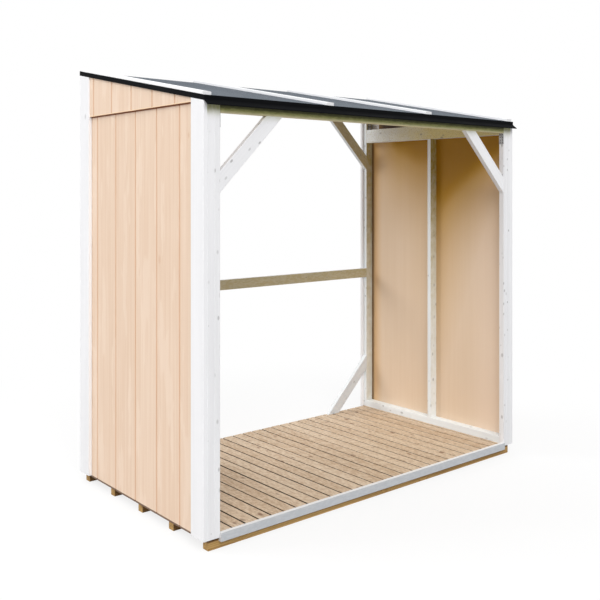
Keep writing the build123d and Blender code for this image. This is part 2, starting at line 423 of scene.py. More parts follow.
def make_patch_group():
    """Broad uneven patches, as stain and handling leave."""
    wires, entry, out = new_group(
        "Stain Patches",
        {"Size": ("value", 0.25), "Stretch": ("vector", (1, 1, 0.35)), "Seed": ("value", 0.0)},
        ("Patches",),
    )
    position = wires.surface()[0]
    shift = wires.vector("SCALE", (1.3, 2.7, 4.1), scale=entry["Seed"])
    scaled = wires.vector("SCALE", position, scale=wires.math("DIVIDE", 1.0, entry["Size"]))
    scaled = wires.vector("ADD", wires.vector("MULTIPLY", scaled, entry["Stretch"]), shift)
    patches = wires.noise(scaled, detail=3.0, roughness=0.55)[0]
    wires.feed(out["Patches"], wires.spread(patches, 0.3, 0.7))


def make_board_group():
    """Tone and seed that change from board to board across one direction."""
    wires, entry, out = new_group(
        "Board Tone",
        {"Across": ("vector", (0, 1, 0)), "Start": ("value", 0.0), "Pitch": ("value", 0.2)},
        ("Tone", "Board Seed", "To Joint"),
    )
    position = wires.surface()[0]
    distance = wires.minus(wires.vector("DOT_PRODUCT", position, entry["Across"]), entry["Start"])
    boards = wires.math("DIVIDE", distance, entry["Pitch"])
    chance = wires.add("ShaderNodeTexWhiteNoise", noise_dimensions="1D")
    wires.feed(chance.inputs["W"], wires.math("FLOOR", boards))
    to_joint = wires.minus(wires.math("FRACT", wires.plus(boards, 0.5)), 0.5)
    wires.feed(out["Tone"], chance.outputs["Value"])
    wires.feed(out["Board Seed"], wires.times(chance.outputs["Value"], 37.0))
    wires.feed(out["To Joint"], wires.times(wires.math("ABSOLUTE", to_joint), entry["Pitch"]))


def make_painted_shade_group():
    """Painted shade on one side of a timber, growing from a start to an end place where the roof keeps the
    light off.
    """
    wires, entry, out = new_group(
        "Sheltered Side",
        {
            "Along": ("vector", (0, 0, 1)),
            "Facing": ("vector", (0, -1, 0)),
            "Start": ("value", 1.87),
            "End": ("value", 1.92),
        },
        ("Tint",),
    )
    position, normal = wires.surface()
    reach = wires.minus(entry["End"], entry["Start"])
    ragged = wires.minus(wires.noise(position, scale=24.0, detail=3.0)[0], 0.5)
    ragged = wires.times(ragged, wires.times(reach, 0.4))
    place = wires.plus(wires.vector("DOT_PRODUCT", position, entry["Along"]), ragged)
    facing = wires.spread(wires.vector("DOT_PRODUCT", normal, entry["Facing"]), 0.2, 0.8)
    share = wires.math("DIVIDE", wires.minus(place, entry["Start"]), reach, clamp=True)
    wires.feed(out["Tint"], wires.times(wires.math("POWER", share, 2.0), facing))


def new_material(name, roughness, specular=0.35):
    """Empty finish: its wires and its shader."""
    material = bpy.data.materials.new(name)
    material.use_nodes = True
    tree = material.node_tree
    tree.nodes.clear()
    wires = Wires(tree)
    shader = wires.add("ShaderNodeBsdfPrincipled")
    shader.inputs["Specular IOR Level"].default_value = specular
    shader.inputs["Roughness"].default_value = roughness
    output = wires.add("ShaderNodeOutputMaterial")
    tree.links.new(shader.outputs[0], output.inputs["Surface"])
    return material, wires, shader


def add_bump(wires, shader, height, depth):
    """Relief of a finish, as deep as the given distance."""
    bump = wires.add("ShaderNodeBump")
    bump.inputs["Distance"].default_value = depth
    bump.inputs["Strength"].default_value = 1.0
    wires.feed(bump.inputs["Height"], height)
    wires.feed(shader.inputs["Normal"], bump.outputs["Normal"])


def own_grain(wires, **values):
    """Grain of a whole timber, from its own properties."""
    if "seed" not in values:
        values["seed"] = wires.attribute("grain_seed")["Fac"]
    axis, heart = wires.attribute("grain_axis")["Vector"], wires.attribute("grain_heart")["Vector"]
    return place_group(wires, "Timber Grain", axis=axis, heart=heart, **values)


def finish_timber(wires, shader, paint, grain, roughness, depth, ring_relief=0.35):
    """Colour, roughness and relief of a timber: fibres, sunk rings and slightly proud knots."""
    wires.feed(shader.inputs["Base Color"], paint)
    wires.feed(shader.inputs["Roughness"], wires.spread(grain["Fibres"], 0.3, 0.7, *roughness))
    relief = wires.minus(grain["Fibres"], wires.times(grain["Rings"], ring_relief))
    relief = wires.plus(relief, wires.times(grain["Knots"], 0.3))
    add_bump(wires, shader, relief, depth)


def make_white_stain(name, finish, stain, knotty=True, tint=None, shadow=None, rough=False):
    """White stain over grain and knots, with painted shade on one side and a sawn mottle where asked."""
    material, wires, shader = new_material(name, roughness=0.55, specular=0.3)
    knots = {"knot_cell": 0.034, "knot_size": 0.19, "knot_share": 0.75} if knotty else {"knot_share": 0.02}
    grain = own_grain(wires, **knots)
    patches = place_group(wires, "Stain Patches", seed=wires.attribute("grain_seed")["Fac"])
    shown = 1.0 if knotty else 0.5
    streaks = wires.weigh(
        (grain["Streaks"], 0.20 * shown), (grain["Rings"], 0.10 * shown), (patches["Patches"], 0.06)
    )
    paint = wires.mix(streaks, stain, shadow or finish.stain_shadow)
    # Painted shade: a tint on the side that the object's properties name
    if tint:
        side = place_group(
            wires,
            "Sheltered Side",
            along=wires.attribute("shelter_along")["Vector"],
            facing=wires.attribute("shelter_facing")["Vector"],
            start=wires.attribute("shelter_start")["Fac"],
            end=wires.attribute("shelter_end")["Fac"],
        )
        share = wires.times(side["Tint"], wires.attribute("shelter_share")["Fac"])
        uneven = wires.spread(grain["Flecks"], 0.0, 1.0, 0.9, 1.06)
        paint = wires.mix(wires.times(share, uneven, clamp=True), paint, tint)
    if rough:
        mottle = wires.noise(wires.surface()[0], scale=150.0)[0]
        paint = wires.mix(wires.spread(mottle, 0.48, 0.70, 0.0, 0.42), paint, finish.inner_shade_and_speck_brown)
    paint = wires.stain(paint, grain["Knots"], 0.6, finish.stain_knot)
    paint = wires.stain(paint, grain["Ends"], 0.35, finish.stain_shadow)
    finish_timber(wires, shader, paint, grain, roughness=(0.48, 0.66), depth=0.0004)
    return material


def make_treated_header(finish, foot):
    """Green treated timber, mottled, with painted shade under the apron's lip, and paler along its lower edge
    and on its underside: partly untreated wood, partly painted light from below.
    """
    material, wires, shader = new_material("treated_header", roughness=0.6)
    grain = own_grain(wires)
    # Painted shade: the header darkens towards the top, under the apron
    apron_shade = place_group(wires, "Sheltered Side", start=foot + 0.003, end=foot + 0.033)
    mottle = wires.minus(grain["Flecks"], 0.5)
    dark = wires.weigh((grain["Streaks"], 0.4), (apron_shade["Tint"], 0.6), (mottle, 0.6))
    paint = wires.mix(dark, finish.header_green, finish.header_dark)
    paint = wires.stain(paint, grain["Rings"], 0.25, finish.header_dark)
    paint = wires.stain(paint, grain["Knots"], 0.6, finish.header_dark)
    position, normal = wires.surface()
    height, down = wires.split(position)[2], wires.split(normal)[2]
    # Painted light: paler towards the lower edge of the front face
    paint = wires.mix(wires.spread(height, foot + 0.014, foot + 0.003, 0.0, 0.5), paint, finish.header_pale)
    # Painted shadow of the apron's lip along the top of the front face
    paint = wires.mix(wires.spread(height, foot + 0.014, foot + 0.026, 0.0, 0.75), paint, finish.header_shade)
    # Underside paler: partly untreated wood, partly painted light from below
    paint = wires.mix(wires.spread(down, -0.3, -0.8, 0.0, 0.85), paint, finish.header_pale)
    finish_timber(wires, shader, paint, grain, roughness=(0.52, 0.72), depth=0.0005)
    return material


def paint_cladding(wires, finish, board, board_seed, grain, patches, height, joint, foot):
    """Outer face of a sheet: boards of their own tone, stained grooves, a painted shadow and a painted
    highlight at the gable joint, and painted shade along the foot.
    """
    tone = wires.weigh(
        (board["Tone"], 0.14), (grain["Streaks"], 0.36), (grain["Rings"], 0.20), (patches["Patches"], 0.15)
    )
    flames = place_group(wires, "Stain Patches", size=0.075, stretch=(1, 1, 0.16), seed=board_seed)
    pale = wires.spread(flames["Patches"], 0.68, 0.84, 0.0, 0.6)
    tone = wires.times(wires.plus(tone, 0.04), wires.minus(1.0, pale))
    paint = wires.mix(tone, finish.clad_light, finish.clad_dark)
    paint = wires.stain(paint, grain["Knots"], 0.5, finish.clad_groove)
    paint = wires.stain(paint, wires.spread(board["To Joint"], 0.010, 0.002), 0.42, finish.clad_groove)
    slack = 0.0005
    # Painted shadow on the wall sheet just under the gable sheet's lower edge
    under = wires.spread(height, joint - 0.0075, joint - 0.0045)
    under = wires.times(under, wires.math("LESS_THAN", height, joint + slack))
    # Painted highlight on the gable sheet just above its lower edge
    over = wires.spread(height, joint + 0.006, joint + 0.003)
    over = wires.times(over, wires.math("GREATER_THAN", height, joint - slack))
    paint = wires.stain(paint, under, 0.97, finish.clad_painted_shadow)
    paint = wires.stain(paint, over, 0.8, finish.clad_painted_highlight)
    # Painted shade: a dark strip along the foot of the sheet
    painted_shade = wires.spread(height, foot + 0.0095, foot + 0.0080, 0.0, 0.9)
    return wires.mix(painted_shade, paint, finish.painted_shade_and_dirt_brown)


def paint_lining(wires, finish, grain, patches, depth, height, stud_fronts):
    """Inner face of a sheet: painted shade, golden then brown, towards the roof and in front of the studs,
    and painted light towards the open front.
    """
    middle_stud, back_stud = stud_fronts
    tone = wires.weigh((grain["Streaks"], 0.2), (patches["Patches"], 0.2))
    paint = wires.mix(tone, finish.lining, finish.lining_dark)
    # Painted light: the lining paler towards the open front
    front_painted_light = wires.spread(depth, -0.28, -0.46, 0.0, 0.55)
    paint = wires.mix(front_painted_light, paint, finish.clad_light)

    # Painted shade under the roof, less towards the back
    roof_start, roof_reach = 1.05, 0.83
    roof = wires.math("DIVIDE", wires.minus(height, roof_start), roof_reach, clamp=True)
    roof = wires.times(wires.math("POWER", roof, 2.0), wires.spread(depth, 0.27, 0.50, 1.0, 0.5))

    # Painted shade in front of the middle stud, growing up the wall and fading to the front
    stud_start, growth, fading, most, slack = 0.15, 0.52, 1.55, 0.6, 0.001
    ahead = wires.minus(middle_stud, depth)
    in_front = wires.math("GREATER_THAN", ahead, -slack)
    grown = wires.times(wires.minus(height, stud_start), growth)
    beside = wires.minus(grown, wires.times(ahead, fading), clamp=True)
    beside = wires.times(wires.math("MINIMUM", beside, most), in_front)

    # Painted shade behind the middle stud, on the upper half of the wall
    behind = wires.times(wires.spread(height, 0.6, 1.15, 0.0, 0.14), wires.spread(depth, 0.30, 0.10))
    behind = wires.times(behind, wires.minus(1.0, in_front))

    shade = wires.plus(wires.plus(roof, beside), behind)
    paint = wires.mix(shade, paint, finish.lining_gold_shade)
    paint = wires.mix(wires.spread(shade, 0.75, 1.08), paint, finish.lining_shade)
    # Painted shade: darkest close under the roof
    paint = wires.mix(wires.spread(height, 1.93, 2.0), paint, finish.lining_deep_shade)
    # Painted shade: a warmer tone on the lining beside the back stud
    warm = wires.spread(depth, back_stud - 0.110, back_stud - 0.025, 0.0, 0.45)
    paint = wires.mix(warm, paint, finish.lining_warm_shade)
    # Painted shade: a dark strip in the corner beside the back stud
    corner = wires.spread(depth, back_stud - 0.026, back_stud - 0.010, 0.0, 0.72)
    return wires.mix(corner, paint, finish.lining_deep_shade)


def make_cladding(name, finish, groove_start, groove_pitch, joint, foot, stud_fronts):
    """Grooved softwood sheet outside, smooth lining inside, with painted shade on its downward faces, as
    under its lower edge.
    """
    material, wires, shader = new_material(name, roughness=0.5)
    board = place_group(wires, "Board Tone", start=groove_start, pitch=groove_pitch)
    seed = wires.plus(board["Board Seed"], wires.attribute("grain_seed")["Fac"])
    grain = own_grain(
        wires, seed=seed, ring_spacing=0.011, ring_waver=0.05, streaks_per_metre=55.0, knot_share=0.03
    )
    patches = place_group(wires, "Stain Patches", size=0.35, seed=seed)
    position, normal = wires.surface()
    side, depth, height = wires.split(position)
    facing = wires.split(normal)
    outside = paint_cladding(wires, finish, board, seed, grain, patches, height, joint, foot)
    inside = paint_lining(wires, finish, grain, patches, depth, height, stud_fronts)
    outward = wires.times(facing[0], wires.math("SIGN", side))
    paint = wires.mix(wires.spread(outward, -0.2, 0.2), inside, outside)
    # Painted shade on the downward faces of the sheet
    paint = wires.mix(wires.spread(facing[2], -0.5, -0.9), paint, finish.clad_painted_shadow)
    finish_timber(wires, shader, paint, grain, roughness=(0.44, 0.62), depth=0.00035, ring_relief=0.2)
    return material


def make_board_timber(name, finish, axis, roughness, top=None):
    """Planed boards that differ, with painted shade in their joints: below a given top, or in the V joints.
    """
    material, wires, shader = new_material(name, roughness)
    seed = wires.attribute("board_seed", "GEOMETRY")["Fac"]
    heart = wires.attribute("board_heart", "GEOMETRY")["Vector"]
    knots = {"knot_cell": 0.055, "knot_size": 0.20, "knot_share": 0.5}
    grain = place_group(wires, "Timber Grain", axis=axis, heart=heart, seed=seed, **knots)
    patches = place_group(wires, "Stain Patches", size=0.3, seed=seed, stretch=(1, 0.4, 1))
    tone = wires.weigh(
        (wires.attribute("board_tone", "GEOMETRY")["Fac"], 0.35),
        (grain["Streaks"], 0.30),
        (grain["Rings"], 0.25),
        (patches["Patches"], 0.12),
        (wires.minus(grain["Flecks"], 0.5), 0.75),
    )
    paint = wires.mix(tone, finish.floor_light, finish.floor_dark)
    paint = wires.stain(paint, grain["Knots"], 0.95, finish.floor_knot)
    position, normal = wires.surface()
    sideways = wires.math("ABSOLUTE", wires.split(normal)[0])
    if top:
        place = wires.split(position)
        # Painted shade down the sides of the floor gaps, starting nearer the top towards the left end
        unshaded_depth = wires.spread(place[0], -1.0, 1.0, 0.0004, 0.0018)
        depth = wires.minus(wires.minus(top, place[2]), unshaded_depth)
        dirt_and_shade = wires.spread(depth, 0.0, 0.0012, 0.0, 0.97)
        dirt_and_shade = wires.times(dirt_and_shade, wires.spread(sideways, 0.1, 0.25))
    else:
        # Painted shade on the sideways faces of the roof boards' V joints
        dirt_and_shade = wires.spread(sideways, 0.12, 0.7, 0.0, 0.6)
    paint = wires.mix(dirt_and_shade, paint, finish.board_joint_shade)
    finish_timber(wires, shader, paint, grain, roughness=(roughness - 0.06, roughness + 0.1), depth=0.0005)
    return material


def make_beam_timber(finish, top):
    """Sawn treated beams with darker grain, a painted shadow along the top edge and painted shade on the
    fronts further back.
    """
    material, wires, shader = new_material("treated_beam", roughness=0.7, specular=0.25)
    grain = own_grain(wires, ring_spacing=0.006, ring_waver=0.014)
    paint = wires.mix(
        wires.weigh((grain["Streaks"], 0.5), (grain["Rings"], 0.45)), finish.beam_light, finish.beam_dark
    )
    paint = wires.stain(paint, grain["Knots"], 0.6, finish.floor_knot)
    # Painted shade on the front faces of the beams further back
    side = place_group(wires, "Sheltered Side", start=WHOLE_SIDE[0], end=WHOLE_SIDE[1])
    paint = wires.stain(paint, side["Tint"], wires.attribute("shelter_share")["Fac"], finish.painted_shade_and_dirt_brown)
    height = wires.split(wires.surface()[0])[2]
    # Painted shadow along the top edge of the beams
    paint = wires.mix(wires.spread(height, top - 0.009, top - 0.003, 0.0, 0.85), paint, finish.painted_shade_and_dirt_brown)
    finish_timber(wires, shader, paint, grain, roughness=(0.62, 0.8), depth=0.0009)
    return material


def make_felt(finish):
    """Mineral felt: grey granules with paler flecks and faint broad patches."""
    material, wires, shader = new_material("mineral_felt", roughness=0.85, specular=0.1)
    granules = wires.add("ShaderNodeTexVoronoi")
    wires.feed(granules.inputs["Vector"], wires.surface()[0])
    wires.feed(granules.inputs["Scale"], 620.0)
    distance = granules.outputs["Distance"]
    patches = place_group(wires, "Stain Patches", size=0.4, stretch=(1, 0.6, 1))
    pale = wires.spread(wires.split(granules.outputs["Color"])[0], 0.55, 0.95)
    flecks = wires.weigh((pale, 0.7), (patches["Patches"], 0.25))
    wires.feed(shader.inputs["Base Color"], wires.mix(flecks, finish.felt_grey, finish.felt_fleck))
    wires.feed(shader.inputs["Roughness"], wires.spread(distance, 0.0, 0.6, 0.75, 0.95))
    add_bump(wires, shader, wires.minus(1.0, distance), depth=0.0006)
    return material


def make_edging(finish):
    """Black coated steel with a fine orange-peel surface and faint dust."""
    material, wires, shader = new_material("black_coated_steel", roughness=0.7, specular=0.05)
    patches = place_group(wires, "Stain Patches", size=0.3)
    paint = wires.stain(finish.edging_black, patches["Patches"], 0.015, finish.felt_grey)
    wires.feed(shader.inputs["Base Color"], paint)
    wires.feed(shader.inputs["Roughness"], wires.spread(patches["Patches"], 0.0, 1.0, 0.62, 0.80))
    add_bump(wires, shader, wires.noise(wires.surface()[0], scale=420.0)[0], depth=0.0002)
    return material


def make_dull_metal(name, metal, dirt_and_shade):
    """Dull metal of nails and nail plates, a little uneven."""
    material, wires, shader = new_material(name, roughness=0.5)
    patches = place_group(wires, "Stain Patches", size=0.01)
    wires.feed(shader.inputs["Base Color"], wires.stain(metal, patches["Patches"], 0.5, dirt_and_shade))
    wires.feed(shader.inputs["Metallic"], 0.4)
    wires.feed(shader.inputs["Roughness"], wires.spread(patches["Patches"], 0.0, 1.0, 0.42, 0.6))
    return material


def give_grain(name, seed, way=None):
    """Set the way, heart and seed of a timber's grain on its object."""
    chance = random.Random(f"{name} {seed}")
    low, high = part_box(name)
    if way is None:
        way = next(axis for word, axis in GRAIN_WAYS.items() if word in name)
    offset = Vector(chance.uniform(0.012, 0.05) * chance.choice((-1, 1)) for _ in range(3))
    heart = (low + high) / 2 + offset - way * offset.dot(way)
    node = nodes[name]
    node["grain_axis"] = list(way)
    node["grain_heart"] = list(heart)
    node["grain_seed"] = chance.uniform(0, 40)


def coat(name, material):
    """Give a CAD node its finish."""
    node = nodes[name]
    node.data.materials.clear()
    node.data.materials.append(material)


def dress(names, material, seed, way=None):
    """Give CAD timbers their grain and finish."""
    for name in names:
        give_grain(name, seed, way)
        coat(name, material)


def ground_beams():
    """Names of the ground beams, in order."""
    return sorted(name for name in nodes if name.startswith("ground_beam"))


def inward(side):
    """Direction from an end wall into the store."""
    return ALONG_LENGTH if side == "left" else -ALONG_LENGTH


def both_sides(*names):
    """Names of pieces that each end wall has."""
    return [f"{side}_{name}" for side in SIDES for name in names]


def add_object(name, data):
    """New object in the scene."""
    holder = bpy.data.objects.new(name, data)
    bpy.context.scene.collection.objects.link(holder)
    return holder


def finish_piece(name, mesh, material, replaced=()):
    """Object of a finished mesh that rides on the store."""
    mesh.validate()
    mesh.materials.append(material)
    piece = add_object(name, mesh)
    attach(piece, BODY)
    if replaced:
        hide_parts(*replaced)
    return piece


def rounded_outline(half_width, thickness, radius, steps=3):
    """Cross-section of a board with rounded arrises, from its middle and its underside."""
    points = []
    corners = ((1, 0, -90), (1, 1, 0), (-1, 1, 90), (-1, 0, 180))
    for side, top, start in corners:
        middle = Vector((side * (half_width - radius), thickness - radius if top else radius))
        for step in range(steps + 1):
            turn = math.radians(start + 90 * step / steps)
            points.append(middle + radius * Vector((math.cos(turn), math.sin(turn))))
    return points


def join_loops(mesh, loops):
    """Faces that join each loop of points to the next one."""
    faces = []
    for near, far in zip(loops, loops[1:]):
        for index in range(len(near)):
            after = (index + 1) % len(near)
            faces.append(mesh.faces.new((near[index], near[after], far[after], far[index])))
    return faces


def add_board(mesh, outline, stations, place):
    """Board through cross-sections at stations along it; place turns (across, along, up) into a point."""
    rings = [[mesh.verts.new(place(spot.x, along, spot.y)) for spot in outline] for along in stations]
    faces = join_loops(mesh, rings)
    faces.append(mesh.faces.new(list(reversed(rings[0]))))
    faces.append(mesh.faces.new(rings[-1]))
    return faces


def mark_boards(mesh, marks):
    """Write each board's seed, tone and heart on its faces. Marks hold (face count, seed, tone, heart)."""
    seeds = mesh.attributes.new("board_seed", "FLOAT", "FACE")
    tones = mesh.attributes.new("board_tone", "FLOAT", "FACE")
    hearts = mesh.attributes.new("board_heart", "FLOAT_VECTOR", "FACE")
    index = 0
    for count, seed, tone, heart in marks:
        for face in range(index, index + count):
            seeds.data[face].value = seed
            tones.data[face].value = tone
            hearts.data[face].vector = heart
        index += count


def made_mesh(name, build):
    """Mesh of a finished build, its faces turned outwards."""
    mesh = bpy.data.meshes.new(name)
    bmesh.ops.recalc_face_normals(build, faces=build.faces)
    build.to_mesh(mesh)
    build.free()
    return mesh


def drive_nail(mesh, place, outward, width, stand, sides=10):
    """One slightly domed nail head, its rim in the timber."""
    turn = UPRIGHT.rotation_difference(outward).to_matrix()
    loops = []
    for radius, lift in ((width / 2, -stand), (width / 2, stand * 0.4), (width * 0.3, stand)):
        loop = []
        for index in range(sides):
            angle = 2 * math.pi * index / sides
            spot = Vector((radius * math.cos(angle), radius * math.sin(angle), lift))
            loop.append(mesh.verts.new(place + turn @ spot))
        loops.append(loop)
    join_loops(mesh, loops)
    mesh.faces.new(loops[-1])
    mesh.faces.new(list(reversed(loops[0])))


def spans_along_x(node):
    """Low and high X of each separate solid of a CAD node, in order."""
    mesh = bmesh.new()
    mesh.from_mesh(node.data)
    bmesh.ops.remove_doubles(mesh, verts=mesh.verts, dist=1e-6)
    spans, seen = [], set()
    for start in mesh.verts:
        if start.index in seen:
            continue
        group, todo = [], [start]
        seen.add(start.index)
        while todo:
            vert = todo.pop()
            group.append(vert.co.x)
            for edge in vert.link_edges:
                other = edge.other_vert(vert)
                if other.index not in seen:
                    seen.add(other.index)
                    todo.append(other)
        spans.append((min(group), max(group)))
    mesh.free()
    return sorted(spans)


class StoreOperator(bpy.types.Operator):
    """Shared reach to the store's settings."""

    bl_options = {"REGISTER", "UNDO"}

    def settings(self, context):
        """Finishes and sizes of the store."""
        return context.scene.log_store_finish, context.scene.log_store_sizes

    def shelter(self, name, along, facing, start, end, share):
        """Set the side of a timber that gets painted shade, and where the painted shade starts and is full.
        """
        node = nodes[name]
        node["shelter_along"] = list(along)
        node["shelter_facing"] = list(facing)
        node["shelter_start"], node["shelter_end"], node["shelter_share"] = start, end, share


class LOGSTORE_OT_ground_beams(StoreOperator):
    """Finish the five ground beams as sawn treated timber"""

    bl_idname = "log_store.ground_beams"
    bl_label = "Ground Beams"

    def execute(self, context):
        finish, sizes = self.settings(context)
        beams = ground_beams()
        front = min(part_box(name)[0].y for name in beams)
        dress(beams, make_beam_timber(finish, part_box(beams[0])[1].z), sizes.seed)
        for name in beams:
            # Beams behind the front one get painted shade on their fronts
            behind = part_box(name)[0].y > front + 0.01
            self.shelter(name, UPRIGHT, TOWARD_FRONT, *WHOLE_SIDE, share=0.65 if behind else 0.0)
        return {"FINISHED"}


class LOGSTORE_OT_floor_boards(StoreOperator):
    """Lay the floor boards, each with its own grain, tone and slight unevenness"""

    bl_idname = "log_store.floor_boards"
    bl_label = "Floor Boards"

    steps = 10

    def execute(self, context):
        finish, sizes = self.settings(context)
        chance = random.Random(sizes.seed)
        low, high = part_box("deck_boards")
        thickness = high.z - low.z
        post_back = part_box("left_front_post")[1].y
        post_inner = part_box("right_front_post")[0].x
        boards, marks = bmesh.new(), []
        for left, right in spans_along_x(nodes["deck_boards"]):
            middle, width = (left + right) / 2, right - left
            free = abs(middle) < post_inner
            drop = chance.uniform(0, sizes.board_drop)
            drift = chance.uniform(-1, 1) * sizes.board_drift
            bow = chance.uniform(-1, 1) * sizes.board_drift
            seed, tone = chance.uniform(0, 60), chance.random()
            heart = Vector((middle + chance.uniform(-0.02, 0.02), 0, low.z - chance.uniform(0.0, 0.05)))

            def place(across, along, up, middle=middle, free=free, drop=drop, drift=drift, bow=bow):
                share = (along - low.y) / (high.y - low.y)
                sway = (drift + bow * math.sin(math.pi * share)) * free
                return middle + across + sway, along, low.z + up * (1 - drop / thickness)

            front = low.y
            if max(abs(left), abs(right)) > post_inner:
                inner = min(abs(left), abs(right))
                half = (post_inner - sizes.board_rounding - inner) / 2
                front = post_back + sizes.board_drift

                def beside_post(across, along, up, middle=math.copysign(inner + half, middle)):
                    return middle + across, along, low.z + up

                tongue = rounded_outline(half, thickness, sizes.board_rounding)
                faces = add_board(boards, tongue, (low.y, front), beside_post)
                marks.append((len(faces), seed, tone, heart))
            outline = rounded_outline(width / 2, thickness, sizes.board_rounding)
            stations = [front + (high.y - front) * step / self.steps for step in range(self.steps + 1)]
            faces = add_board(boards, outline, stations, place)
            marks.append((len(faces), seed, tone, heart))
        mesh = made_mesh("floor_boards", boards)
        mark_boards(mesh, marks)
        material = make_board_timber("planed_floor_board", finish, ALONG_DEPTH, roughness=0.55, top=high.z)
        finish_piece("floor_boards", mesh, material, ("deck_boards",))
        return {"FINISHED"}


class LOGSTORE_OT_white_frame(StoreOperator):
    """Stain the posts, studs, plates, back header, rail and braces, with painted shade on their shaded sides
    """

    bl_idname = "log_store.white_frame"
    bl_label = "White Frame"

    def execute(self, context):
        finish, sizes = self.settings(context)
        studs, back_studs = both_sides("middle_stud", "bottom_plate"), both_sides("back_stud")
        back = both_sides("back_knee_brace") + ["back_header", "back_rail"]
        foot_braces, plates = both_sides("back_foot_brace"), both_sides("top_plate")
        front, corners = both_sides("front_post", "front_knee_brace"), both_sides("front_corner_board")
        # Cooler copy of the white stain inside, painted against the warmer bounce light there
        cool = finish.inner_stain
        # Painted shade in brown on the front faces of the frame inside
        brown = make_white_stain("white_frame_stain", finish, cool, tint=finish.inner_shade_and_speck_brown)
        # Painted shade in tan on the inner faces of the top plates
        tan = make_white_stain("white_plate_stain", finish, cool, tint=finish.plate_painted_shade, rough=True)
        # Painted shade in cool grey on the front faces of the foot braces
        grey = make_white_stain("white_brace_stain", finish, cool, tint=finish.brace_painted_shade)
        # Painted shade in green at the tops of the front posts and corner boards, under the apron
        painted_shade = make_white_stain("white_front_stain", finish, finish.white_stain, tint=finish.header_green)
        dress(studs + back_studs + back, brown, sizes.seed)
        dress(plates, tan, sizes.seed)
        dress(foot_braces, grey, sizes.seed)
        dress(front, painted_shade, sizes.seed)
        dress(corners, painted_shade, sizes.seed)
        # Painted shade on the front faces: height where it starts, height where it is full, and its share
        # there
        tinted_fronts = (
            (front + corners, (1.86, 1.92, 0.85)),
            (studs, (-0.5, 1.75, 0.95)),
            (back_studs, (-2.2, 1.9, 0.85)),
            (back, (*WHOLE_SIDE, 0.72)),
            (foot_braces, (*WHOLE_SIDE, 0.45)),
        )
        for names, tint in tinted_fronts:
            for name in names:
                self.shelter(name, UPRIGHT, TOWARD_FRONT, *tint)
        # Painted shade on the top plates' inner faces, full towards the front
        for side in SIDES:
            self.shelter(f"{side}_top_plate", TOWARD_FRONT, inward(side), start=-0.7, end=0.05, share=1.0)
        return {"FINISHED"}


class LOGSTORE_OT_white_trim(StoreOperator):
    """Stain the side trims, back corner boards, sill and roof battens"""

    bl_idname = "log_store.white_trim"
    bl_label = "White Trim"

    def execute(self, context):
        finish, sizes = self.settings(context)
        stain, seed = finish.white_stain, sizes.seed
        trim = make_white_stain("white_trim_stain", finish, stain, knotty=False)
        trims = both_sides("front_side_trim", "back_side_trim", "back_corner_board")
        dress(trims, trim, seed)
        cool, front = finish.sill_stain, finish.sill_shade
        sill = make_white_stain("white_sill_stain", finish, cool, knotty=False, tint=front)
        dress(["front_sill"], sill, seed)
        # Painted shade over the whole front face of the sill
        self.shelter("front_sill", UPRIGHT, TOWARD_FRONT, *WHOLE_SIDE, share=0.85)
        # Battens get a whiter stain, partly painted light for the bright light on the roof
        white = finish.batten_white
        fresh = make_white_stain("white_batten_stain", finish, white, knotty=False, shadow=stain)
        low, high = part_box("roofing_felt")
        slope = Vector((0, high.y - low.y, high.z - low.z)).normalized()
        dress(["roof_battens"], fresh, seed, way=slope)
        return {"FINISHED"}


class LOGSTORE_OT_front_header(StoreOperator):
    """Finish the treated front header under the apron"""

    bl_idname = "log_store.front_header"
    bl_label = "Front Header"

    def execute(self, context):
        finish, sizes = self.settings(context)
        header = make_treated_header(finish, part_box("front_header")[0].z)
        dress(["front_header"], header, sizes.seed)
        return {"FINISHED"}


class LOGSTORE_OT_cladding(StoreOperator):
    """Finish the grooved wall and gable sheets"""

    bl_idname = "log_store.cladding"
    bl_label = "Cladding"

    face_slack = 0.001

    def execute(self, context):
        finish, sizes = self.settings(context)
        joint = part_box("left_gable_sheet")[0].z
        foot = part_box("left_wall_sheet")[0].z
        stud_fronts = [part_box(name)[0].y for name in ("left_middle_stud", "left_back_stud")]
        for kind in ("wall", "gable"):
            first, second = self.groove_places(f"left_{kind}_sheet")[:2]
            name, pitch = f"{kind}_cladding", second - first
            material = make_cladding(name, finish, first, pitch, joint, foot, stud_fronts)
            dress(both_sides(f"{kind}_sheet"), material, sizes.seed)
        return {"FINISHED"}

    def groove_places(self, name):
        """Depths of the bottoms of a sheet's grooves, which lie between its two faces."""
        low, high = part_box(name)
        inner, outer = low.x + self.face_slack, high.x - self.face_slack
        corners = [vertex.co for vertex in nodes[name].data.vertices]
        places = {round(corner.y, 4) for corner in corners if inner < corner.x < outer}
        if len(places) < 2:
            raise RuntimeError(f"{name} has no grooves")
        return sorted(places)


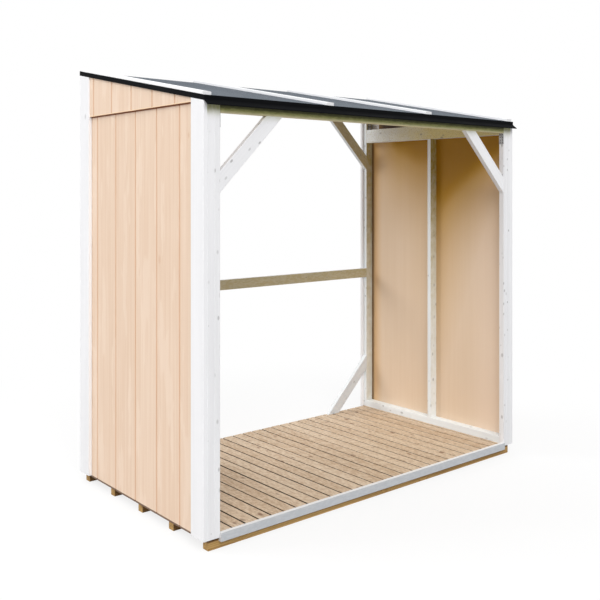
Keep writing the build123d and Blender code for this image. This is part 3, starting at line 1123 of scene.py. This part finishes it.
class LOGSTORE_OT_roof_boards(StoreOperator):
    """Lay the roof boards down the slope, with V joints that show from below"""

    bl_idname = "log_store.roof_boards"
    bl_label = "Roof Boards"

    def execute(self, context):
        finish, sizes = self.settings(context)
        chance = random.Random(sizes.seed + 1)
        low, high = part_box("roof_deck")
        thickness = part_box("roofing_felt")[0].z - low.z
        rise = high.z - low.z - thickness
        count = round((high.x - low.x) / sizes.roof_board_width)
        pitch = (high.x - low.x) / count
        joint = sizes.roof_board_joint
        half, foot = pitch / 2, pitch / 2 - joint
        under = ((-half, joint), (-foot, 0), (foot, 0), (half, joint))
        outline = [Vector(corner) for corner in (*under, (half, thickness), (-half, thickness))]
        boards, marks = bmesh.new(), []
        for index in range(count):
            middle = low.x + pitch * (index + 0.5)

            def place(across, along, up, middle=middle):
                share = (along - low.y) / (high.y - low.y)
                return middle + across, along, low.z + rise * share + up

            faces = add_board(boards, outline, (low.y, high.y), place)
            heart = Vector((middle + chance.uniform(-0.03, 0.03), 0, low.z + chance.uniform(0.0, 0.08)))
            marks.append((len(faces), chance.uniform(0, 60), chance.random(), heart))
        mesh = made_mesh("roof_boards", boards)
        mark_boards(mesh, marks)
        slope = Vector((0, high.y - low.y, rise)).normalized()
        material = make_board_timber("planed_roof_board", finish, slope, roughness=0.6)
        finish_piece("roof_boards", mesh, material, ("roof_deck",))
        return {"FINISHED"}


class LOGSTORE_OT_roofing_felt(StoreOperator):
    """Lay the mineral felt, drawn tight under the battens and slightly rippled between them"""

    bl_idname = "log_store.roofing_felt"
    bl_label = "Roofing Felt"

    columns = 144
    rows = 48
    batten_hold = 0.12
    edge_hold = 0.06
    ripple_scale = (4.0, 2.2)
    ripple_layer = 3.0

    def execute(self, context):
        finish, sizes = self.settings(context)
        low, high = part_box("roofing_felt")
        battens = spans_along_x(nodes["roof_battens"])
        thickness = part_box("back_roof_edging")[1].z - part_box("roof_deck")[1].z
        rise = high.z - low.z - thickness
        felt = bmesh.new()

        def slack(x, y):
            """Share of the ripple that is free of the battens and edges."""
            reach = min(max(left - x, x - right, 0) for left, right in battens)
            edge = min(y - low.y, high.y - y, x - low.x, high.x - x)
            return min(1, reach / self.batten_hold) * min(1, edge / self.edge_hold)

        def grid(top):
            """Rows of points of the felt's upper or lower face."""
            points = []
            for row in range(self.rows + 1):
                share = row / self.rows
                y = low.y + (high.y - low.y) * share
                line = []
                for column in range(self.columns + 1):
                    x = low.x + (high.x - low.x) * column / self.columns
                    spot = Vector((x * self.ripple_scale[0], y * self.ripple_scale[1], self.ripple_layer))
                    dip = (noise.noise(spot) + 1) / 2
                    lift = thickness - sizes.felt_ripple * dip * slack(x, y) if top else 0
                    line.append(felt.verts.new((x, y, low.z + rise * share + lift)))
                points.append(line)
            return points

        upper, lower = grid(True), grid(False)
        for layer in (upper, lower):
            for row in range(self.rows):
                for column in range(self.columns):
                    near, far = layer[row][column:column + 2], layer[row + 1][column:column + 2]
                    felt.faces.new((*near, *reversed(far))).smooth = layer is upper
        edges = [
            ([line[0] for line in upper], [line[0] for line in lower]),
            ([line[-1] for line in upper], [line[-1] for line in lower]),
            (upper[0], lower[0]),
            (upper[-1], lower[-1]),
        ]
        for top, bottom in edges:
            for index in range(len(top) - 1):
                felt.faces.new((top[index], top[index + 1], bottom[index + 1], bottom[index]))
        mesh = made_mesh("felt_sheet", felt)
        finish_piece("felt_sheet", mesh, make_felt(finish), ("roofing_felt",))
        return {"FINISHED"}


class LOGSTORE_OT_roof_edging(StoreOperator):
    """Finish the black edging and the front apron"""

    bl_idname = "log_store.roof_edging"
    bl_label = "Roof Edging"

    def execute(self, context):
        material = make_edging(self.settings(context)[0])
        for name in [*both_sides("roof_edging"), "back_roof_edging", "front_roof_apron"]:
            coat(name, material)
        return {"FINISHED"}


class LOGSTORE_OT_nails(StoreOperator):
    """Drive the lost-head nails of the floor boards and the trim"""

    bl_idname = "log_store.nails"
    bl_label = "Nails"

    foot_insets = 4

    def execute(self, context):
        finish, sizes = self.settings(context)
        floor = bmesh.new()
        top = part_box("deck_boards")[1].z - sizes.board_drop
        rows = [(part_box(name)[0].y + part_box(name)[1].y) / 2 for name in ground_beams()]
        for left, right in spans_along_x(nodes["deck_boards"])[1:-1]:
            for row in rows:
                for x in (left + sizes.nail_inset, right - sizes.nail_inset):
                    drive_nail(floor, Vector((x, row, top)), UPRIGHT, sizes.nail_width, sizes.nail_stand)
        steel = make_dull_metal("dull_nail_steel", finish.nail_steel, finish.floor_dark)
        finish_piece("floor_nails", made_mesh("floor_nails", floor), steel)
        trim = bmesh.new()
        for name in both_sides("front_side_trim", "back_side_trim"):
            low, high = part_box(name)
            outward = Vector((math.copysign(1, low.x), 0, 0))
            face = max(low.x, high.x, key=abs)
            count = int((high.z - low.z - 2 * sizes.nail_inset) / sizes.trim_nail_pitch)
            for index in range(count + 1):
                z = low.z + self.foot_insets * sizes.nail_inset + index * sizes.trim_nail_pitch
                for y in (low.y + sizes.nail_inset, high.y - sizes.nail_inset):
                    head = Vector((face, y, z)) - outward * sizes.nail_stand
                    drive_nail(trim, head, outward, sizes.nail_width, sizes.nail_stand)
        stain = bpy.data.materials["white_trim_stain"]
        piece = finish_piece("trim_nails", made_mesh("trim_nails", trim), stain)
        piece["grain_axis"], piece["grain_heart"], piece["grain_seed"] = list(UPRIGHT), [0.0, 0.0, 0.0], 3.0
        return {"FINISHED"}


class LOGSTORE_OT_nail_plates(StoreOperator):
    """Fix the perforated nail plates at the heads of the front posts and the back studs"""

    bl_idname = "log_store.nail_plates"
    bl_label = "Nail Plates"

    columns = 2
    rows = 4
    sides = 8
    nail_share = 0.8

    def execute(self, context):
        finish, sizes = self.settings(context)
        plates, nails = bmesh.new(), bmesh.new()
        reach = self.rows * sizes.plate_hole_pitch / 2
        for side in SIDES:
            low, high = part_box(f"{side}_front_post")
            face = high.x if side == "left" else low.x
            middle = Vector((face, (low.y + high.y) / 2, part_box("front_header")[0].z - reach))
            self.fix(plates, nails, middle, ALONG_DEPTH, inward(side), sizes)
            low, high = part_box(f"{side}_back_stud")
            middle = Vector(((low.x + high.x) / 2, low.y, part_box(f"{side}_top_plate")[1].z + reach))
            self.fix(plates, nails, middle, ALONG_LENGTH, TOWARD_FRONT, sizes)
        zinc = make_dull_metal("dull_zinc", finish.plate_zinc, finish.plate_nail)
        finish_piece("nail_plates", made_mesh("nail_plates", plates), zinc)
        # Nails near black: partly dark steel, partly painted shade for the shade in the holes
        dark = make_dull_metal("dark_plate_nails", finish.plate_nail, finish.painted_shade_and_dirt_brown)
        finish_piece("plate_nails", made_mesh("plate_nails", nails), dark)
        return {"FINISHED"}

    def fix(self, plates, nails, middle, across, outward, sizes):
        """One perforated plate flat on a timber, with a nail in each hole."""
        pitch = sizes.plate_hole_pitch
        lift = outward * sizes.plate_thickness
        for column in range(self.columns):
            for row in range(self.rows):
                aside = across * pitch * (column - (self.columns - 1) / 2)
                hole = middle + aside + UPRIGHT * pitch * (row - (self.rows - 1) / 2)
                self.punch(plates, hole, across, lift, sizes)
                width, stand = sizes.plate_hole_width, sizes.plate_thickness
                drive_nail(nails, hole, outward, width * self.nail_share, stand * self.nail_share)

    def punch(self, plates, hole, across, lift, sizes):
        """Square of the plate around one hole: its face, its hole's wall and its rim."""
        rim, edge = [], []
        for index in range(self.sides):
            angle = 2 * math.pi * index / self.sides
            way = across * math.cos(angle) + UPRIGHT * math.sin(angle)
            squared = max(abs(math.cos(angle)), abs(math.sin(angle)))
            rim.append(hole + way * sizes.plate_hole_pitch / (2 * squared))
            edge.append(hole + way * sizes.plate_hole_width / 2)
        levels = ((rim, lift * 0), (rim, lift), (edge, lift), (edge, lift * 0))
        loops = [[plates.verts.new(corner + rise) for corner in corners] for corners, rise in levels]
        join_loops(plates, loops)


class LOGSTORE_OT_stage(StoreOperator):
    """Set the pale floor, the soft light and the camera"""

    bl_idname = "log_store.stage"
    bl_label = "Stage"

    seen_white = (0.95, 0.95, 0.95, 1.0)

    def execute(self, context):
        stage = context.scene.log_store_stage
        context.scene.view_settings.view_transform = "Standard"
        self.lay_floor(stage)
        self.light(context, stage)
        self.look(context, stage)
        return {"FINISHED"}

    def lay_floor(self, stage):
        """Pale floor that keeps the shadow near the store and turns white further off."""
        disc = bmesh.new()
        bmesh.ops.create_circle(disc, cap_ends=True, segments=96, radius=stage.floor_radius)
        mesh = bpy.data.meshes.new("studio_floor")
        disc.to_mesh(mesh)
        disc.free()
        floor = add_object("studio_floor", mesh)
        material, wires, shader = new_material("pale_floor", roughness=0.9, specular=0.0)
        distance = wires.vector("LENGTH", wires.surface()[0])
        far = wires.spread(distance, stage.floor_fade * 0.4, stage.floor_fade, 0.78, 1.0)
        seen = self.seen(wires)
        wires.feed(shader.inputs["Base Color"], wires.mix(seen, stage.floor_grey, self.seen_white))
        white = wires.add("ShaderNodeEmission")
        blend = wires.add("ShaderNodeMixShader")
        wires.feed(blend.inputs[0], wires.times(far, seen))
        wires.feed(blend.inputs[1], shader.outputs[0])
        wires.feed(blend.inputs[2], white.outputs[0])
        output = next(node for node in material.node_tree.nodes if node.type == "OUTPUT_MATERIAL")
        wires.feed(output.inputs["Surface"], blend.outputs[0])
        mesh.materials.append(material)

    def seen(self, wires):
        """One for rays that show the stage itself: from the camera, a reflection or through glass."""
        path = wires.add("ShaderNodeLightPath").outputs
        shown = wires.math("MAXIMUM", path["Is Camera Ray"], path["Is Glossy Ray"])
        return wires.math("MAXIMUM", shown, path["Is Transmission Ray"])

    def light(self, context, stage):
        """Even sky that shows white, a soft key from the left back and a soft fill from the front."""
        world = bpy.data.worlds.new("studio")
        context.scene.world = world
        world.use_nodes = True
        wires = Wires(world.node_tree)
        background = next(node for node in world.node_tree.nodes if node.type == "BACKGROUND")
        background.inputs["Color"].default_value = (1, 1, 1, 1)
        height = wires.split(wires.add("ShaderNodeTexCoord").outputs["Generated"])[2]
        even = wires.spread(height, 0.0, 0.9, stage.horizon, stage.zenith)
        shown = self.seen(wires)
        even = wires.times(even, wires.minus(1.0, shown))
        wires.feed(background.inputs["Strength"], wires.plus(even, shown))
        self.hang_lamp("key_lamp", stage.key_place, stage.key_power, stage.lamp_size)
        self.hang_lamp("fill_lamp", stage.fill_place, stage.fill_power, stage.lamp_size)

    def hang_lamp(self, name, place, power, size):
        """Square soft lamp aimed at the middle of the store."""
        lamp = bpy.data.lights.new(name, "AREA")
        lamp.energy = power
        lamp.size = size
        holder = add_object(name, lamp)
        holder.location = place
        aim = (cad_box[0] + cad_box[1]) / 2 - Vector(place)
        holder.rotation_euler = aim.to_track_quat("-Z", "Y").to_euler()

    def look(self, context, stage):
        """Level camera at the photograph's viewing angle."""
        camera = bpy.data.cameras.new("photo_camera")
        camera.sensor_width = 36.0
        camera.lens = stage.lens
        camera.shift_y = stage.rise
        camera.clip_end = 200.0
        holder = add_object("photo_camera", camera)
        holder.location = stage.eye
        holder.rotation_euler = (math.radians(90), 0, -stage.heading)
        context.scene.camera = holder


class LOGSTORE_PT_panel(bpy.types.Panel):
    """Steps and settings of the log store"""

    bl_label = "Log Store"
    bl_idname = "LOGSTORE_PT_panel"
    bl_space_type = "VIEW_3D"
    bl_region_type = "UI"
    bl_category = "Log Store"

    def draw(self, context):
        for step in STEPS:
            self.layout.operator(step.bl_idname)
        scene = context.scene
        for group in (scene.log_store_sizes, scene.log_store_finish, scene.log_store_stage):
            box = self.layout.box()
            for name in group.__annotations__:
                box.prop(group, name)


SETTINGS = (LogStoreFinish, LogStoreSizes, LogStoreStage)
STEPS = (
    LOGSTORE_OT_ground_beams,
    LOGSTORE_OT_floor_boards,
    LOGSTORE_OT_white_frame,
    LOGSTORE_OT_white_trim,
    LOGSTORE_OT_front_header,
    LOGSTORE_OT_cladding,
    LOGSTORE_OT_roof_boards,
    LOGSTORE_OT_roofing_felt,
    LOGSTORE_OT_roof_edging,
    LOGSTORE_OT_nails,
    LOGSTORE_OT_nail_plates,
    LOGSTORE_OT_stage,
)
CLASSES = (*SETTINGS, *STEPS, LOGSTORE_PT_panel)


def register():
    """Add the settings, steps and panel."""
    for kind in CLASSES:
        bpy.utils.register_class(kind)
    bpy.types.Scene.log_store_finish = PointerProperty(type=LogStoreFinish)
    bpy.types.Scene.log_store_sizes = PointerProperty(type=LogStoreSizes)
    bpy.types.Scene.log_store_stage = PointerProperty(type=LogStoreStage)


def unregister():
    """Take the settings, steps and panel away."""
    del bpy.types.Scene.log_store_finish
    del bpy.types.Scene.log_store_sizes
    del bpy.types.Scene.log_store_stage
    for kind in reversed(CLASSES):
        bpy.utils.unregister_class(kind)


def main():
    """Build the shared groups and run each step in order."""
    register()
    make_grain_group()
    make_patch_group()
    make_board_group()
    make_painted_shade_group()
    for step in STEPS:
        family, name = step.bl_idname.split(".")
        getattr(getattr(bpy.ops, family), name)()


if __name__ == "__main__":
    main()
